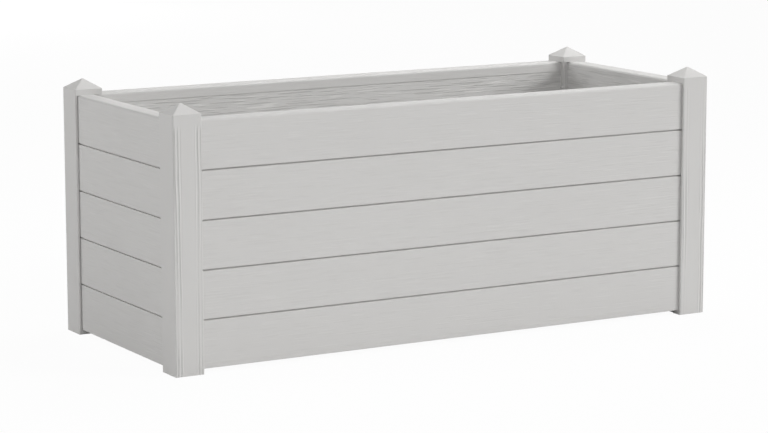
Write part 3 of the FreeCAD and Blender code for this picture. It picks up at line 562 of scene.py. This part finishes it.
def add_screw_recess_painted_shade():
    """Dark crosses, almost flush with the screw heads, painted as the shade in their cross
    recesses.
    """
    heads = []
    for x_side in (-1, 1):
        for y_side in (-1, 1):
            heads += corner_heads(x_side, y_side)
    heads += rail_heads("floor_rail_front", 1.0)
    heads += rail_heads("floor_rail_back", -1.0)
    mesh = bmesh.new()
    for place, outward in heads:
        seat = facing(place + outward * HEAD_HEIGHT, outward, UP)
        add_raised(mesh, CROSS, CROSS_SUNK, CROSS_PROUD, CROSS_DRAFT, seat)
    finish_piece(mesh, "screw_recesses", painted_recess_shade, "planter_box")


add_screw_recess_painted_shade()

# Raised ring and drop on the fill cap, and ribs on its tab, metres
PLUG_DEPTH = 0.006
LID_THICK = 0.004
RELIEF_SUNK = -0.0002
RELIEF_PROUD = 0.0006
RING_INNER = 0.0215
RING_OUTER = 0.0235
DROP_RADIUS = 0.0062
DROP_TIP = 0.0125
DROP_SHIFT = -0.003
DROP_STEPS = 24
DROP_DRAFT = 0.92
TAB_DROP = 0.0015
RIBS = 3
RIB_FIRST = 0.0018
RIB_PITCH = 0.0019
RIB_WIDE = 0.0005
RIB_LONG = 0.0055
RIB_DRAFT = 0.9


def drop_outline():
    """A drop: a round end, and the two straight flanks that touch it."""
    tangent = math.asin(DROP_RADIUS / DROP_TIP)
    outline = [(0.0, DROP_TIP + DROP_SHIFT)]
    for step in range(DROP_STEPS + 1):
        turn = math.pi - tangent + (math.pi + 2 * tangent) * step / DROP_STEPS
        outline.append((DROP_RADIUS * math.cos(turn), DROP_RADIUS * math.sin(turn) + DROP_SHIFT))
    return outline


def add_lid_relief():
    """The fill cap's ring, drop and ribs, as one piece that opens with it."""
    lid_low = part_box("fill_cap")[0]
    tube_low, tube_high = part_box("fill_tube")
    middle_x = (tube_low[0] + tube_high[0]) / 2
    middle_y = (tube_low[1] + tube_high[1]) / 2
    lid_top = lid_low[2] + PLUG_DEPTH + LID_THICK
    mesh = bmesh.new()
    seat = Matrix.Translation((middle_x, middle_y, lid_top))
    add_ring(mesh, RING_INNER, RING_OUTER, RELIEF_SUNK, RELIEF_PROUD, seat)
    add_raised(mesh, drop_outline(), RELIEF_SUNK, RELIEF_PROUD, DROP_DRAFT, seat)
    rib = (
        (-RIB_WIDE, -RIB_LONG), (RIB_WIDE, -RIB_LONG), (RIB_WIDE, RIB_LONG), (-RIB_WIDE, RIB_LONG),
    )
    for step in range(RIBS):
        rib_x = lid_low[0] + RIB_FIRST + RIB_PITCH * step
        seat = Matrix.Translation((rib_x, middle_y, lid_top - TAB_DROP))
        add_raised(mesh, rib, RELIEF_SUNK, RELIEF_PROUD, RIB_DRAFT, seat)
    finish_piece(mesh, "fill_cap_relief", lid_skin, "fill_lid")


add_lid_relief()

# Floor
FLOOR_SIZE = 60.0
FLOOR_PAINT = (0.9, 0.9, 0.9, 1.0)
FLOOR_WHITENING = 0.96


def add_floor():
    """A pale floor, which the camera sees nearly white from above and not at all from below."""
    bpy.ops.mesh.primitive_plane_add(size=FLOOR_SIZE)
    floor = bpy.context.object
    floor.name = "floor"
    material = bpy.data.materials.new("floor_white")
    material.use_nodes = True
    graph = Graph(material.node_tree)
    graph.tree.nodes.clear()
    matt = graph.node("ShaderNodeBsdfDiffuse", {"Color": FLOOR_PAINT}).outputs[0]
    white = graph.node("ShaderNodeEmission", {"Strength": 1.0}).outputs[0]
    clear = graph.node("ShaderNodeBsdfTransparent", {}).outputs[0]
    seen = graph.node("ShaderNodeLightPath", {}).outputs["Is Camera Ray"]
    below = graph.node("ShaderNodeNewGeometry", {}).outputs["Backfacing"]
    whitened = graph.mix(graph.math("MULTIPLY", seen, FLOOR_WHITENING), matt, white)
    graph.node("ShaderNodeOutputMaterial", {"Surface": graph.mix(below, whitened, clear)})
    floor.data.materials.append(material)


add_floor()

# Light
AMBIENT = 0.02
LAMP_AIM = Vector((0.0, 0.0, 0.2))


def set_world():
    """White to the camera, to gloss and through glass, and a faint light on the rest."""
    world = bpy.data.worlds.new("studio")
    scene.world = world
    world.use_nodes = True
    graph = Graph(world.node_tree)
    graph.tree.nodes.clear()
    white = graph.node("ShaderNodeBackground", {"Color": WHITE, "Strength": 1.0}).outputs[0]
    faint = graph.node("ShaderNodeBackground", {"Color": WHITE, "Strength": AMBIENT}).outputs[0]
    rays = graph.node("ShaderNodeLightPath", {}).outputs
    mirrored = graph.math("MAXIMUM", rays["Is Glossy Ray"], rays["Is Transmission Ray"])
    seen = graph.math("MAXIMUM", rays["Is Camera Ray"], mirrored)
    graph.node("ShaderNodeOutputWorld", {"Surface": graph.mix(seen, faint, white)})


def softbox(name, place, width, height, power):
    """A lamp of a width and a height in metres that faces the middle of the box."""
    lamp = bpy.data.lights.new(name, "AREA")
    lamp.shape = "RECTANGLE"
    lamp.size = width
    lamp.size_y = height
    lamp.energy = power
    stand = bpy.data.objects.new(name, lamp)
    stand.location = place
    stand.rotation_mode = "QUATERNION"
    stand.rotation_quaternion = (LAMP_AIM - Vector(place)).to_track_quat("-Z", "Y")
    scene.collection.objects.link(stand)


scene.view_settings.view_transform = "Standard"
set_world()
softbox("right_key", (12.75, -9.75, 6.9), width=7.5, height=7.5, power=2020.0)
softbox("front_fill", (-5.0, -9.5, 5.2), width=6.0, height=5.0, power=341.0)
softbox("left_fill", (-5.8, 0.0, 1.8), width=5.0, height=1.6, power=63.0)
softbox("left_back_fill", (-6.0, 4.0, 2.4), width=3.0, height=2.0, power=121.0)
softbox("back_fill", (1.0, 6.0, 0.9), width=2.0, height=1.6, power=60.0)
softbox("top_key", (0.7, 0.4, 2.1), width=1.3, height=1.3, power=22.3)

# Camera: lens and sensor in millimetres, places in metres, roll in degrees
LENS = 130.156
SENSOR_WIDTH = 36.0
CAMERA_PLACE = Vector((-2.2986, -3.9831, 0.9604))
CAMERA_TARGET = Vector((0.0086, 0.0352, 0.1727))
CAMERA_ROLL = -0.066


def add_camera():
    """The camera at the photograph's place."""
    camera = bpy.data.cameras.new("camera")
    camera.lens = LENS
    camera.sensor_width = SENSOR_WIDTH
    camera.sensor_fit = "HORIZONTAL"
    viewer = bpy.data.objects.new("camera", camera)
    viewer.location = CAMERA_PLACE
    viewer.rotation_mode = "QUATERNION"
    level_view = (CAMERA_TARGET - CAMERA_PLACE).to_track_quat("-Z", "Y")
    roll = Quaternion((0.0, 0.0, 1.0), math.radians(CAMERA_ROLL))
    viewer.rotation_quaternion = level_view @ roll
    scene.collection.objects.link(viewer)
    scene.camera = viewer


add_camera()
